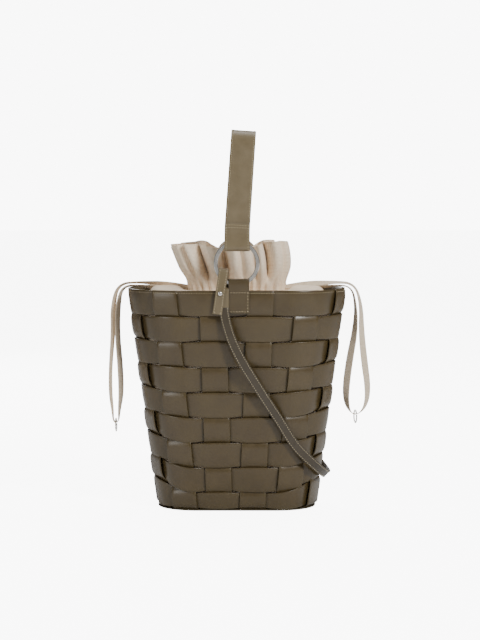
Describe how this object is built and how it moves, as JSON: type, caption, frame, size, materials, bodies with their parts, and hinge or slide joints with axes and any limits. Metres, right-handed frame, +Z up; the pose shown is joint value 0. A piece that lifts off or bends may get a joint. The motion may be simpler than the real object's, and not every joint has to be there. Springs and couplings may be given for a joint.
{
  "type": "woven bucket bag",
  "caption": "Woven leather bucket bag with a linen drawstring pouch inside, a wide handle hung on steel rings, a long shoulder strap and drawstring tapes with small rings.",
  "frame": {"origin": "centre of the bag's underside, on the surface it stands on", "axes": "+Z up, towards the handle; +X to the right seen from the front; -Y towards the front, where the strap crosses"},
  "size_m": [0.3618, 0.1846, 0.5246],
  "materials": {
    "leather": "smooth satin, olive taupe",
    "strap_leather": "smooth satin, greyish taupe",
    "lining_leather": "matt, olive taupe",
    "linen": "plain woven, beige",
    "tape": "flat woven tape, beige",
    "steel": "polished",
    "board": "matt"
  },
  "bodies": {
    "bag": {"base_board": "board", "base_panel": "lining_leather", "front_ring_tab": "leather", "front_strap_end": "strap_leather", "front_strap_stud": "steel", "left_drawstring": "tape", "pouch_body": "linen", "pouch_casing": "linen", "pouch_ruffle": "linen", "pouch_shoulder": "linen", "rear_ring_tab": "leather", "rear_strap_end": "strap_leather", "rear_strap_stud": "steel", "right_drawstring": "tape", "rim_facing": "lining_leather", "shoulder_strap": "strap_leather", "warp_strip_01": "leather", "warp_strip_02": "leather", "warp_strip_03": "leather", "warp_strip_04": "leather", "warp_strip_05": "leather", "warp_strip_06": "leather", "warp_strip_07": "leather", "warp_strip_08": "leather", "warp_strip_09": "leather", "warp_strip_10": "leather", "warp_strip_11": "leather", "warp_strip_12": "leather", "weft_band_1": "leather", "weft_band_2": "leather", "weft_band_3": "leather", "weft_band_4": "leather", "weft_band_5": "leather", "weft_band_6": "leather", "weft_band_7": "leather", "weft_band_8": "leather", "weft_band_9": "leather"},
    "front_ring": {"front_ring": "steel"},
    "rear_ring": {"rear_ring": "steel"},
    "handle": {"handle_strap": "leather", "handle_lining": "lining_leather"},
    "left_small_ring": {"left_tape_ring": "steel"},
    "right_small_ring": {"right_tape_ring": "steel"}
  },
  "joints": [
    {"name": "front_ring_tilt", "type": "hinge", "parent": "bag", "child": "front_ring", "pos_m": [0, -0.0793, 0.3185], "axis": [1, 0, 0], "range_deg": [-25, 25], "deforming": ["front_strap_end"]},
    {"name": "handle_tilt", "type": "hinge", "parent": "front_ring", "child": "handle", "pos_m": [0, -0.0793, 0.3675], "axis": [1, 0, 0], "range_deg": [-25, 25]},
    {"name": "rear_ring_tilt", "type": "hinge", "parent": "bag", "child": "rear_ring", "pos_m": [0, 0.0793, 0.3185], "axis": [1, 0, 0], "range_deg": [-25, 25], "deforming": ["rear_strap_end"]},
    {"name": "left_small_ring_swing", "type": "hinge", "parent": "bag", "child": "left_small_ring", "pos_m": [-0.1695, 0, 0.12175], "axis": [0, 1, 0], "range_deg": [-20, 20]},
    {"name": "right_small_ring_swing", "type": "hinge", "parent": "bag", "child": "right_small_ring", "pos_m": [0.1664, 0, 0.13355], "axis": [0, 1, 0], "range_deg": [-20, 20]}
  ],
  "couplings": [
    {"joint": "rear_ring_tilt", "follows": "front_ring_tilt", "ratio": 1},
    {"joint": "handle_tilt", "follows": "front_ring_tilt", "ratio": -1}
  ]
}
